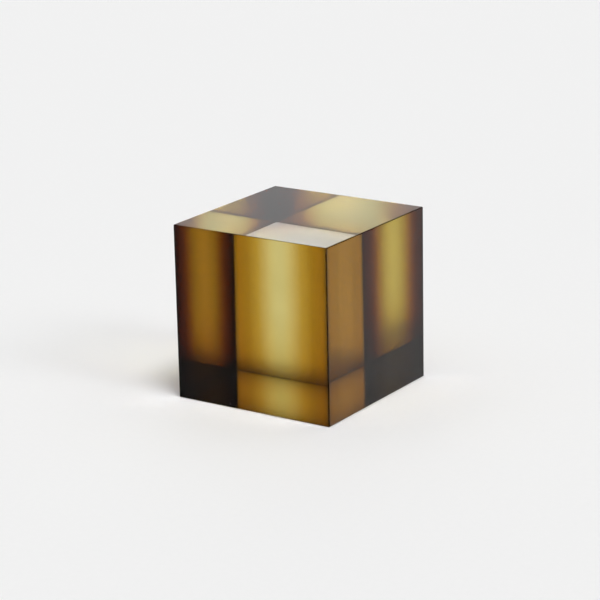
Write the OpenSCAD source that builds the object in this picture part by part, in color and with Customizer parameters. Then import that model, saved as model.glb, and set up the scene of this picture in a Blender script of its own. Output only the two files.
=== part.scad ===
// Solid optical cube: a clear polished core with a graded amber sheet
// laminated to each of its four upright sides. The top and bottom stay clear.
// +Z is up, the front faces -Y, and the origin is the centre of the base.

/* [Block] */
// Edge length of the finished cube
block_edge = 60; // [40:1:120]
// Width of the polished arris along the outer edges
arris_w = 0.3; // [0.1:0.05:0.4]

/* [Layers] */
// Thickness of each graded amber side sheet
sheet_t = 0.5; // [0.5:0.1:3]
// Thickness of the clear adhesive film behind each side sheet
film_t = 0.1; // [0.1:0.05:0.5]

/* [Hidden] */

// Distance from the cube's axis to each layer's outer face
sheet_reach = block_edge / 2;
film_reach = sheet_reach - sheet_t;
core_reach = film_reach - film_t;

// Turn about Z that brings a layer from the front to each side
front_turn = 0;
right_turn = 90;
back_turn = 180;
left_turn = 270;

// Upright plate on the front side, mitred at both ends so that four meet at the corners
module mitred_plate(reach, thickness) {
    inner = reach - thickness;
    linear_extrude(block_edge)
        polygon([[-reach, -reach], [reach, -reach], [inner, -inner], [-inner, -inner]]);
}

// The space that a plate may fill once its two upright outer edges are broken
module upright_arris_limit(reach) {
    flat = reach - arris_w;
    mid = reach - arris_w / 2;
    linear_extrude(block_edge)
        polygon([[-flat, -reach], [flat, -reach], [mid, -mid], [0, 0], [-mid, -mid]]);
}

// The space that a plate may fill once its top and bottom outer edges are broken
module level_arris_limit(reach) {
    flat = reach - arris_w;
    translate([-reach, 0, 0]) rotate([90, 0, 90]) linear_extrude(2 * reach)
        polygon([
            [0, 0], [-flat, 0], [-reach, arris_w],
            [-reach, block_edge - arris_w], [-flat, block_edge], [0, block_edge],
        ]);
}

module core_block() {
    color("WhiteSmoke", 0.35)
        translate([-core_reach, -core_reach, 0])
        cube([2 * core_reach, 2 * core_reach, block_edge]);
}

module adhesive_film(turn) {
    color("LightYellow", 0.3)
        rotate(turn) mitred_plate(film_reach, film_t);
}

module amber_sheet(turn) {
    color("DarkGoldenrod", 0.75)
        rotate(turn) intersection() {
            mitred_plate(sheet_reach, sheet_t);
            upright_arris_limit(sheet_reach);
            level_arris_limit(sheet_reach);
        }
}

module front_film() { adhesive_film(front_turn); }
module right_film() { adhesive_film(right_turn); }
module back_film() { adhesive_film(back_turn); }
module left_film() { adhesive_film(left_turn); }

module front_sheet() { amber_sheet(front_turn); }
module right_sheet() { amber_sheet(right_turn); }
module back_sheet() { amber_sheet(back_turn); }
module left_sheet() { amber_sheet(left_turn); }

core_block();
front_film();
right_film();
back_film();
left_film();
front_sheet();
right_sheet();
back_sheet();
left_sheet();
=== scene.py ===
"""Solid optical cube: a clear acrylic core with a graded amber sheet bonded to each upright side."""

import math

import bpy
import numpy as np
from mathutils import Matrix, Vector


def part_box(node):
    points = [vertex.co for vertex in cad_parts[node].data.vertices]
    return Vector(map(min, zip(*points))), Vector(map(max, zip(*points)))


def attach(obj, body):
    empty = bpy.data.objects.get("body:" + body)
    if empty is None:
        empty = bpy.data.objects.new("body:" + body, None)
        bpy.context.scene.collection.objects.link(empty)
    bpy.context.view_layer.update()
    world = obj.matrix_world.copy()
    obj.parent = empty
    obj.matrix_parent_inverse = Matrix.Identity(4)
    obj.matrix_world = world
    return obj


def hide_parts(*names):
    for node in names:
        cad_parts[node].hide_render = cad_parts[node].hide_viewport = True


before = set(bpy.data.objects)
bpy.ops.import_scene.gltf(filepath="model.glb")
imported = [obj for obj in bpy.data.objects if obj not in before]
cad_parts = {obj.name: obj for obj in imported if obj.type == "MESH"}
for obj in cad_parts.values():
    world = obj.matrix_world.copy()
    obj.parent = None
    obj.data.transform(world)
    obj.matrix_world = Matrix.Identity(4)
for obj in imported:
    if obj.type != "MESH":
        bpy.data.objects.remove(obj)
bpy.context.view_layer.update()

MM = 0.001


# ---- Core block -----------------------------------------------------------------------------
# The heart of the cube is one block of cast acrylic, machined square and diamond polished on its
# top and base, with a hair of a bevel there. Its four upright sides are bonded over, so they
# bend no light.

def linear(hex_code):
    """The linear RGBA of an sRGB hex colour, by the standard two-part curve."""
    srgb = [int(hex_code[i:i + 2], 16) / 255 for i in (1, 3, 5)]
    return (*[c / 12.92 if c <= 0.04045 else ((c + 0.055) / 1.055) ** 2.4 for c in srgb], 1.0)


def add(tree, kind, settings=None, **inputs):
    """Adds a shader node with its settings. Each input, by name or as _number, is set or linked."""
    node = tree.nodes.new("ShaderNode" + kind)
    for name, value in (settings or {}).items():
        setattr(node, name, value)
    for name, value in inputs.items():
        key = name.replace("_", " ").strip()
        socket = node.inputs[int(key) if key.isdigit() else key]
        if isinstance(value, bpy.types.NodeSocket):
            tree.links.new(value, socket)
        else:
            socket.default_value = value
    return node


def new_material(name):
    """An empty node material and its tree."""
    material = bpy.data.materials.new(name)
    material.use_nodes = True
    material.node_tree.nodes.clear()
    return material, material.node_tree


# Acrylic's index is 1.49. It is set a little higher here, which moves the far edges, seen through
# the block, closer to where the real block shows them. Face-on glare is held to a tenth, because
# the real block's dark bands have hardly any. Reflection inside the block stays whole.
ACRYLIC_IOR = 1.53
FACE_ON_GLARE = (0.1, 0.1, 0.1, 1.0)
POLISH_WAVE = 20 * MM
POLISH_DEPTH = 0.004 * MM
CASTING_DRIFT = 30 * MM
FILM_DRIFT = 12 * MM


def polished_acrylic(name, base_colour):
    """Cast acrylic with a diamond polish: it is mirror smooth, but the buffing wheel leaves slow
    waves about 20 mm across and a few microns deep. base_colour(tree) gives its colour."""
    material, tree = new_material(name)
    place = add(tree, "TexCoord").outputs["Object"]
    waves = add(tree, "TexNoise", Vector=place, Scale=1 / POLISH_WAVE, Detail=1.0)
    surface = add(tree, "Bump", Height=waves.outputs["Fac"], Distance=POLISH_DEPTH)
    acrylic = add(
        tree, "BsdfPrincipled", Base_Color=base_colour(tree), Roughness=0.0, IOR=ACRYLIC_IOR,
        Transmission_Weight=1.0, Specular_Tint=FACE_ON_GLARE, Normal=surface.outputs["Normal"],
    )
    add(tree, "OutputMaterial", Surface=acrylic.outputs["BSDF"])
    return material


def drifting_tint(tree, clearest, deepest, size):
    """A tint that drifts between two near colours over patches of the given size."""
    place = add(tree, "TexCoord").outputs["Object"]
    drift = add(tree, "TexNoise", Vector=place, Scale=1 / size, Detail=1.0)
    tint = add(tree, "ValToRGB", Fac=drift.outputs["Fac"])
    tint.color_ramp.elements[0].color = linear(clearest)
    tint.color_ramp.elements[1].color = linear(deepest)
    return tint.outputs["Color"]


def core_colour(tree):
    """Water clear acrylic, with a trace of straw that drifts through the casting."""
    return drifting_tint(tree, "#FFFFFF", "#FCFBF6", CASTING_DRIFT)


def bonded_face():
    """A face wetted by clear adhesive of its own index: light goes straight on, and the adhesive
    takes a trace of it, more where the film was pressed thicker."""
    material, tree = new_material("adhesive_wetted_face")
    film_tint = drifting_tint(tree, "#FFFFFF", "#FCFCFA", FILM_DRIFT)
    through = add(tree, "BsdfTransparent", Color=film_tint)
    add(tree, "OutputMaterial", Surface=through.outputs["BSDF"])
    return material


MERGE_GRAIN = 0.001 * MM


def ringed_solid(name, rings, outer, materials, normals=None, uv=None):
    """A closed solid from rings of points, levels by columns, anticlockwise from above. It is
    joined level to level and capped flat at both ends, and points that fall together become one.
    A wall panel where outer is true shows the first material and follows the given normals, and
    any other wall panel shows the second material. The caps show the first."""
    levels, columns = rings.shape[:2]
    grain = np.round(rings.reshape(-1, 3) / MERGE_GRAIN).astype(np.int64)
    first, index = np.unique(grain, axis=0, return_index=True, return_inverse=True)[1:]
    index = index.reshape(levels, columns)
    beside = np.roll(index, -1, axis=1)
    walls = np.stack([index[:-1], beside[:-1], beside[1:], index[1:]], -1).reshape(-1, 4)
    loops = walls.tolist() + [index[0, ::-1].tolist(), index[-1].tolist()]
    faces = [tuple(dict.fromkeys(loop)) for loop in loops]
    real = np.array([len(face) > 2 for face in faces])
    faces = [face for face in faces if len(face) > 2]
    outer = np.broadcast_to(outer, (levels - 1, columns)).ravel()
    curved = np.append(outer, [False, False])[real]
    bonded = np.append(~outer, [False, False])[real]

    mesh = bpy.data.meshes.new(name)
    mesh.from_pydata(rings.reshape(-1, 3)[first].tolist(), [], faces)
    for material in materials:
        mesh.materials.append(material)
    mesh.polygons.foreach_set("material_index", bonded.astype(np.int32))
    corner = np.empty(len(mesh.loops), np.int32)
    mesh.loops.foreach_get("vertex_index", corner)
    if uv is not None:
        corner_uv = uv.reshape(-1, 2)[first][corner]
        mesh.uv_layers.new(name="face_place").data.foreach_set("uv", corner_uv.ravel())
    if normals is not None:
        flat = np.empty(3 * len(faces), np.float32)
        mesh.polygons.foreach_get("normal", flat)
        panel = np.repeat(np.arange(len(faces)), [len(face) for face in faces])
        smooth = normals.reshape(-1, 3)[first][corner]
        mesh.polygons.foreach_set("use_smooth", np.ones(len(faces), bool))
        mesh.normals_split_custom_set(
            np.where(curved[panel, None], smooth, flat.reshape(-1, 3)[panel])
        )
    piece = bpy.data.objects.new(name, mesh)
    bpy.context.scene.collection.objects.link(piece)
    return piece


clear_polish = polished_acrylic("polished_clear_acrylic", core_colour)
clear_bond = bonded_face()

core_low, core_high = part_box("core_block")
BEVEL = 0.04 * MM
inset = np.array([BEVEL, 0, 0, BEVEL])[:, None]
level = np.array([core_low.z, core_low.z + BEVEL, core_high.z - BEVEL, core_high.z])[:, None]
core_rings = np.stack([
    np.array([-1, 1, 1, -1]) * (core_high.x - inset),
    np.array([-1, -1, 1, 1]) * (core_high.y - inset),
    np.repeat(level, 4, axis=1),
], -1)
bevel_rows = np.array([[True], [False], [True]])
core = ringed_solid("clear_core_block", core_rings, bevel_rows, [clear_polish, clear_bond])
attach(core, "root")
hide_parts("core_block")


# ---- Adhesive films -------------------------------------------------------------------------
# A film of clear adhesive, cured under ultraviolet light, holds each amber sheet to the core. It
# has the acrylic's own index, so only its top and base edges can be seen, as a hairline.

SIDES = {"front": 0, "right": 90, "back": 180, "left": 270}
HAIR = 0.01 * MM


def turned(points, degrees):
    """The front's own points carried round the upright axis to another side."""
    c, s = math.cos(math.radians(degrees)), math.sin(math.radians(degrees))
    return points @ np.array([[c, s, 0], [-s, c, 0], [0, 0, 1]])


film_low, film_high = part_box("front_film")
film_out, film_in = -film_low.y - HAIR, -film_high.y + HAIR
film_plan_x = np.array([-film_out + HAIR, film_out - HAIR, film_in - HAIR, -film_in + HAIR])
film_plan_y = np.array([-film_out, -film_out, -film_in, -film_in])
film_rings = np.stack([
    np.tile(film_plan_x, (2, 1)),
    np.tile(film_plan_y, (2, 1)),
    np.repeat([[film_low.z], [film_high.z]], 4, axis=1),
], -1)
for side, degrees in SIDES.items():
    film = ringed_solid(
        side + "_clear_film", turned(film_rings, degrees), False, [clear_polish, clear_bond]
    )
    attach(film, "root")
    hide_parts(side + "_film")


# ---- Amber sheets ---------------------------------------------------------------------------
# Four thin acrylic sheets, dip dyed in a gradient, mitred to meet at the upright edges and
# polished after bonding. The dye is thin in the middle, pale gold, and thick towards the upright
# edges, where it is brown to nearly black. A narrow dark band along the base is partly deeper dye
# and partly painted shade, the contact shadow where the cube meets the paper.

# Each stop is a place in millimetres, out from the middle or up from the base, and the colour that
# white light has after one straight pass there. The stops up from the base also hold painted shade.
sheet_low, sheet_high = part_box("front_sheet")
sheet_out, sheet_in = -sheet_low.y, -sheet_high.y
DYE_ACROSS = [
    (0, "#F8F0CA"), (10, "#EDE8C0"), (15, "#E5D49A"), (20, "#C6A446"),
    (24, "#AC841C"), (28, "#A8780C"), (30, "#644C10"),
]
# Up from the base the sheets darken: part deeper dye, part painted shade for the contact shadow along the
# base.
DYE_AND_BASE_SHADE_UP = [
    (0, "#A89870"), (1, "#C6B894"), (3, "#E8DAB8"), (6, "#F8F0D8"), (24, "#FFFFFF"),
]
OUTER_SHARE = 0.15
SLANT_GAIN = 0.3


def tint_ramp(tree, distance, stops, reach):
    """A colour ramp over a distance from 0 to 1, through stops up to the reach in metres."""
    ramp = add(tree, "ValToRGB", Fac=distance)
    points = ramp.color_ramp.elements
    while len(points) < len(stops):
        points.new(1.0)
    for point, (millimetres, colour) in zip(points, stops):
        point.position = millimetres * MM / reach
        point.color = linear(colour)
    return ramp.outputs["Color"]


def dye_and_base_shade_colour(tree, share):
    """What the dye lets through, times the painted shade along the base, worked out from the place on the
    sheet and raised to a share.
    """
    place = add(tree, "UVMap", {"uv_map": "face_place"}).outputs["UV"]
    place = add(tree, "SeparateXYZ", Vector=place)
    offset = add(tree, "Math", {"operation": "MULTIPLY_ADD"}, _0=place.outputs["X"], _1=2.0, _2=-1.0)
    distance = add(tree, "Math", {"operation": "ABSOLUTE"}, _0=offset.outputs["Value"])
    across = tint_ramp(tree, distance.outputs["Value"], DYE_ACROSS, sheet_out)
    # The ramp up from the base carries painted contact shadow as well as dye.
    up = tint_ramp(tree, place.outputs["Y"], DYE_AND_BASE_SHADE_UP, sheet_high.z)
    both = add(tree, "VectorMath", {"operation": "MULTIPLY"}, _0=across, _1=up)
    return add(tree, "Gamma", Color=both.outputs["Vector"], Gamma=share).outputs["Color"]


def outer_colour(tree):
    """The outer face's share of the dye and of the painted base shade. A clear shader tints light by the
    root of its colour.
    """
    return dye_and_base_shade_colour(tree, 2 * OUTER_SHARE)


def dye_and_shade_bond():
    """The sheet's bonded face, which bends nothing and carries the rest of the dye and of the painted
    base shade. Light that crosses on a slant meets more of it, by a power of the cosine."""
    material, tree = new_material("bonded_amber_dye_and_base_shade")
    slant = add(tree, "LayerWeight", Blend=0.5).outputs["Facing"]
    cosine = add(tree, "Math", {"operation": "SUBTRACT"}, _0=1.0, _1=slant)
    gain = add(tree, "Math", {"operation": "POWER"}, _0=cosine.outputs["Value"], _1=-SLANT_GAIN)
    share = add(tree, "Math", {"operation": "MULTIPLY"}, _0=gain.outputs["Value"], _1=1 - OUTER_SHARE)
    dyed = add(tree, "BsdfTransparent", Color=dye_and_base_shade_colour(tree, share.outputs["Value"]))
    add(tree, "OutputMaterial", Surface=dyed.outputs["BSDF"])
    return material


amber_polish = polished_acrylic("polished_amber_acrylic", outer_colour)
amber_bond = dye_and_shade_bond()

ARRIS = 0.3 * MM
STEPS = 4

# The outer edges are rounded by the arris radius. Going up, the surface leans from straight down
# to level over the base arris and on to straight up over the top one: its radius is the cosine of
# the lean and its rise the sine. Going along, each upright corner turns by 45 degrees.
lean = np.concatenate([np.linspace(-90, 0, STEPS + 1), np.linspace(0, 90, STEPS + 1)])
lean = np.radians(lean)[:, None]
turn = np.radians(np.concatenate([np.linspace(-45, 0, STEPS + 1), np.linspace(0, 45, STEPS + 1)]))
end = np.repeat([-1, 1], STEPS + 1)
radius = ARRIS * np.cos(lean)
rise_from = np.repeat([sheet_low.z + ARRIS, sheet_high.z - ARRIS], STEPS + 1)[:, None]
sheet_z = rise_from + ARRIS * np.sin(lean)
outer_x = (sheet_out - ARRIS) * end + radius * np.sin(turn)
outer_y = -(sheet_out - ARRIS) - radius * np.cos(turn)
outer_x[:, 0] += HAIR
outer_x[:, -1] -= HAIR
outer_x = np.clip(outer_x, outer_x[:, :1], outer_x[:, -1:])
inner_x = np.tile([sheet_in - HAIR, HAIR - sheet_in], (len(lean), 1))
inner_y = np.full_like(inner_x, -sheet_in)
sheet_x = np.hstack([outer_x, inner_x])
sheet_y = np.hstack([outer_y, inner_y])
sheet_z = np.repeat(sheet_z, sheet_x.shape[1], axis=1)
sheet_rings = np.stack([sheet_x, sheet_y, sheet_z], -1)
sheet_uv = np.stack([sheet_x / (2 * sheet_out) + 0.5, sheet_z / sheet_high.z], -1)
outer_normals = np.stack([
    np.cos(lean) * np.sin(turn), -np.cos(lean) * np.cos(turn), np.sin(lean) * np.ones_like(turn)
], -1)
sheet_normals = np.concatenate([outer_normals, np.zeros((len(lean), 2, 3))], axis=1)
outer_columns = np.arange(sheet_x.shape[1]) < len(turn) - 1
for side, degrees in SIDES.items():
    sheet = ringed_solid(
        side + "_amber_sheet", turned(sheet_rings, degrees), outer_columns,
        [amber_polish, amber_bond], turned(sheet_normals, degrees), sheet_uv,
    )
    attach(sheet, "root")
    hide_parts(side + "_sheet")


# ---- Floor ----------------------------------------------------------------------------------
# The cube stands on a plain sheet of matt white paper, on a cushion of air a tenth of a
# millimetre thick, so that its base face still reflects from inside.

AIR_GAP = 0.1 * MM
FLOOR_REACH = 6
PAPER_TOOTH = 2 * MM


def matt_paper():
    """Uncoated white paper: matt, with a tooth that varies its white by a per cent or two."""
    material, tree = new_material("matt_white_paper")
    tooth = drifting_tint(tree, "#F8F8F8", "#F6F6F6", PAPER_TOOTH)
    paper = add(tree, "BsdfDiffuse", Color=tooth, Roughness=0.0)
    add(tree, "OutputMaterial", Surface=paper.outputs["BSDF"])
    return material


floor_mesh = bpy.data.meshes.new("floor")
floor_mesh.from_pydata(
    [(x * FLOOR_REACH, y * FLOOR_REACH, -AIR_GAP) for x, y in ((-1, -1), (1, -1), (1, 1), (-1, 1))],
    [], [(0, 1, 2, 3)],
)
floor_mesh.materials.append(matt_paper())
floor = bpy.data.objects.new("floor", floor_mesh)
bpy.context.scene.collection.objects.link(floor)


# ---- Studio light ---------------------------------------------------------------------------
# The room is dim at the horizon and bright overhead. A soft round light hangs high at the front
# right, a weaker one stands lower at the right, and a pale screen glows behind the cube.

VIEW_AZIMUTH = math.radians(33.8)
VIEW_ELEVATION = math.radians(16.8)
HORIZON_GLOW = 0.06
ZENITH_GLOW = 0.75
DIM_BELOW = 0.4
BRIGHT_ABOVE = 0.95
RIM_INSIDE = 0.85
RIM_OUTSIDE = 1.15
OVERHEAD = {"azimuth": 60, "elevation": 69, "half_angle": 9, "radiance": 17.8}
RIGHT_LIGHT = {"azimuth": 90, "elevation": 34, "half_angle": 9, "radiance": 6.0}
SCREEN = {"azimuth": 180 + math.degrees(VIEW_AZIMUTH), "elevation": 22, "half_angle": 18, "radiance": 0.68}

world = bpy.data.worlds.new("studio")
world.use_nodes = True
bpy.context.scene.world = world
tree = world.node_tree
tree.nodes.clear()
way = add(tree, "TexCoord").outputs["Generated"]
height_up = add(tree, "SeparateXYZ", Vector=way).outputs["Z"]
glow = add(
    tree, "MapRange", {"interpolation_type": "SMOOTHSTEP"}, Value=height_up,
    From_Min=DIM_BELOW, From_Max=BRIGHT_ABOVE, To_Min=HORIZON_GLOW, To_Max=ZENITH_GLOW,
)


def add_light(glow, azimuth, elevation, half_angle, radiance):
    """Adds a far round light to the glow. Azimuth turns from -Y, the front, towards +X, the right,
    and the light fades out across its rim, a little inside to a little outside its half angle."""
    turn, tilt = math.radians(azimuth), math.radians(elevation)
    middle = (math.sin(turn) * math.cos(tilt), -math.cos(turn) * math.cos(tilt), math.sin(tilt))
    cosine = add(tree, "VectorMath", {"operation": "DOT_PRODUCT"}, _0=way, _1=middle)
    light = add(
        tree, "MapRange", {"interpolation_type": "SMOOTHSTEP"}, Value=cosine.outputs["Value"],
        From_Min=math.cos(math.radians(RIM_OUTSIDE * half_angle)),
        From_Max=math.cos(math.radians(RIM_INSIDE * half_angle)), To_Min=0.0, To_Max=radiance,
    )
    return add(tree, "Math", {"operation": "ADD"}, _0=glow.outputs[0], _1=light.outputs["Result"])


for light in (OVERHEAD, RIGHT_LIGHT, SCREEN):
    glow = add_light(glow, **light)
sky = add(tree, "Background", Color=linear("#FFFFFF"), Strength=glow.outputs["Value"])
add(tree, "OutputWorld", Surface=sky.outputs["Background"])

# Light crosses many bonded faces on its way round inside the cube, so it is followed further than
# usual, and the clamp is loose enough to keep what reaches the paper under the cube.
cycles = bpy.context.scene.cycles
cycles.max_bounces = 32
cycles.transmission_bounces = 24
cycles.transparent_max_bounces = 48
cycles.blur_glossy = 0.1
cycles.sample_clamp_indirect = 12
bpy.context.scene.view_settings.view_transform = "Standard"


# ---- Camera ---------------------------------------------------------------------------------
# A long lens on a stand looks a little down at the upright edge between front and right.

CAMERA_DISTANCE = 790 * MM
CAMERA_ROLL = math.radians(-1.2)
SENSOR_WIDTH = 36
FOCAL_LENGTH = 141
aim = Vector((-0.4, -0.1, 30.6)) * MM
camera_data = bpy.data.cameras.new("camera")
camera_data.sensor_width = SENSOR_WIDTH
camera_data.lens = FOCAL_LENGTH
camera = bpy.data.objects.new("camera", camera_data)
bpy.context.scene.collection.objects.link(camera)
bpy.context.scene.camera = camera
backward = Vector((
    math.sin(VIEW_AZIMUTH) * math.cos(VIEW_ELEVATION),
    -math.cos(VIEW_AZIMUTH) * math.cos(VIEW_ELEVATION),
    math.sin(VIEW_ELEVATION),
))
camera.location = aim + backward * CAMERA_DISTANCE
roll = Matrix.Rotation(CAMERA_ROLL, 3, "Z").to_quaternion()
camera.rotation_euler = (backward.to_track_quat("Z", "Y") @ roll).to_euler()
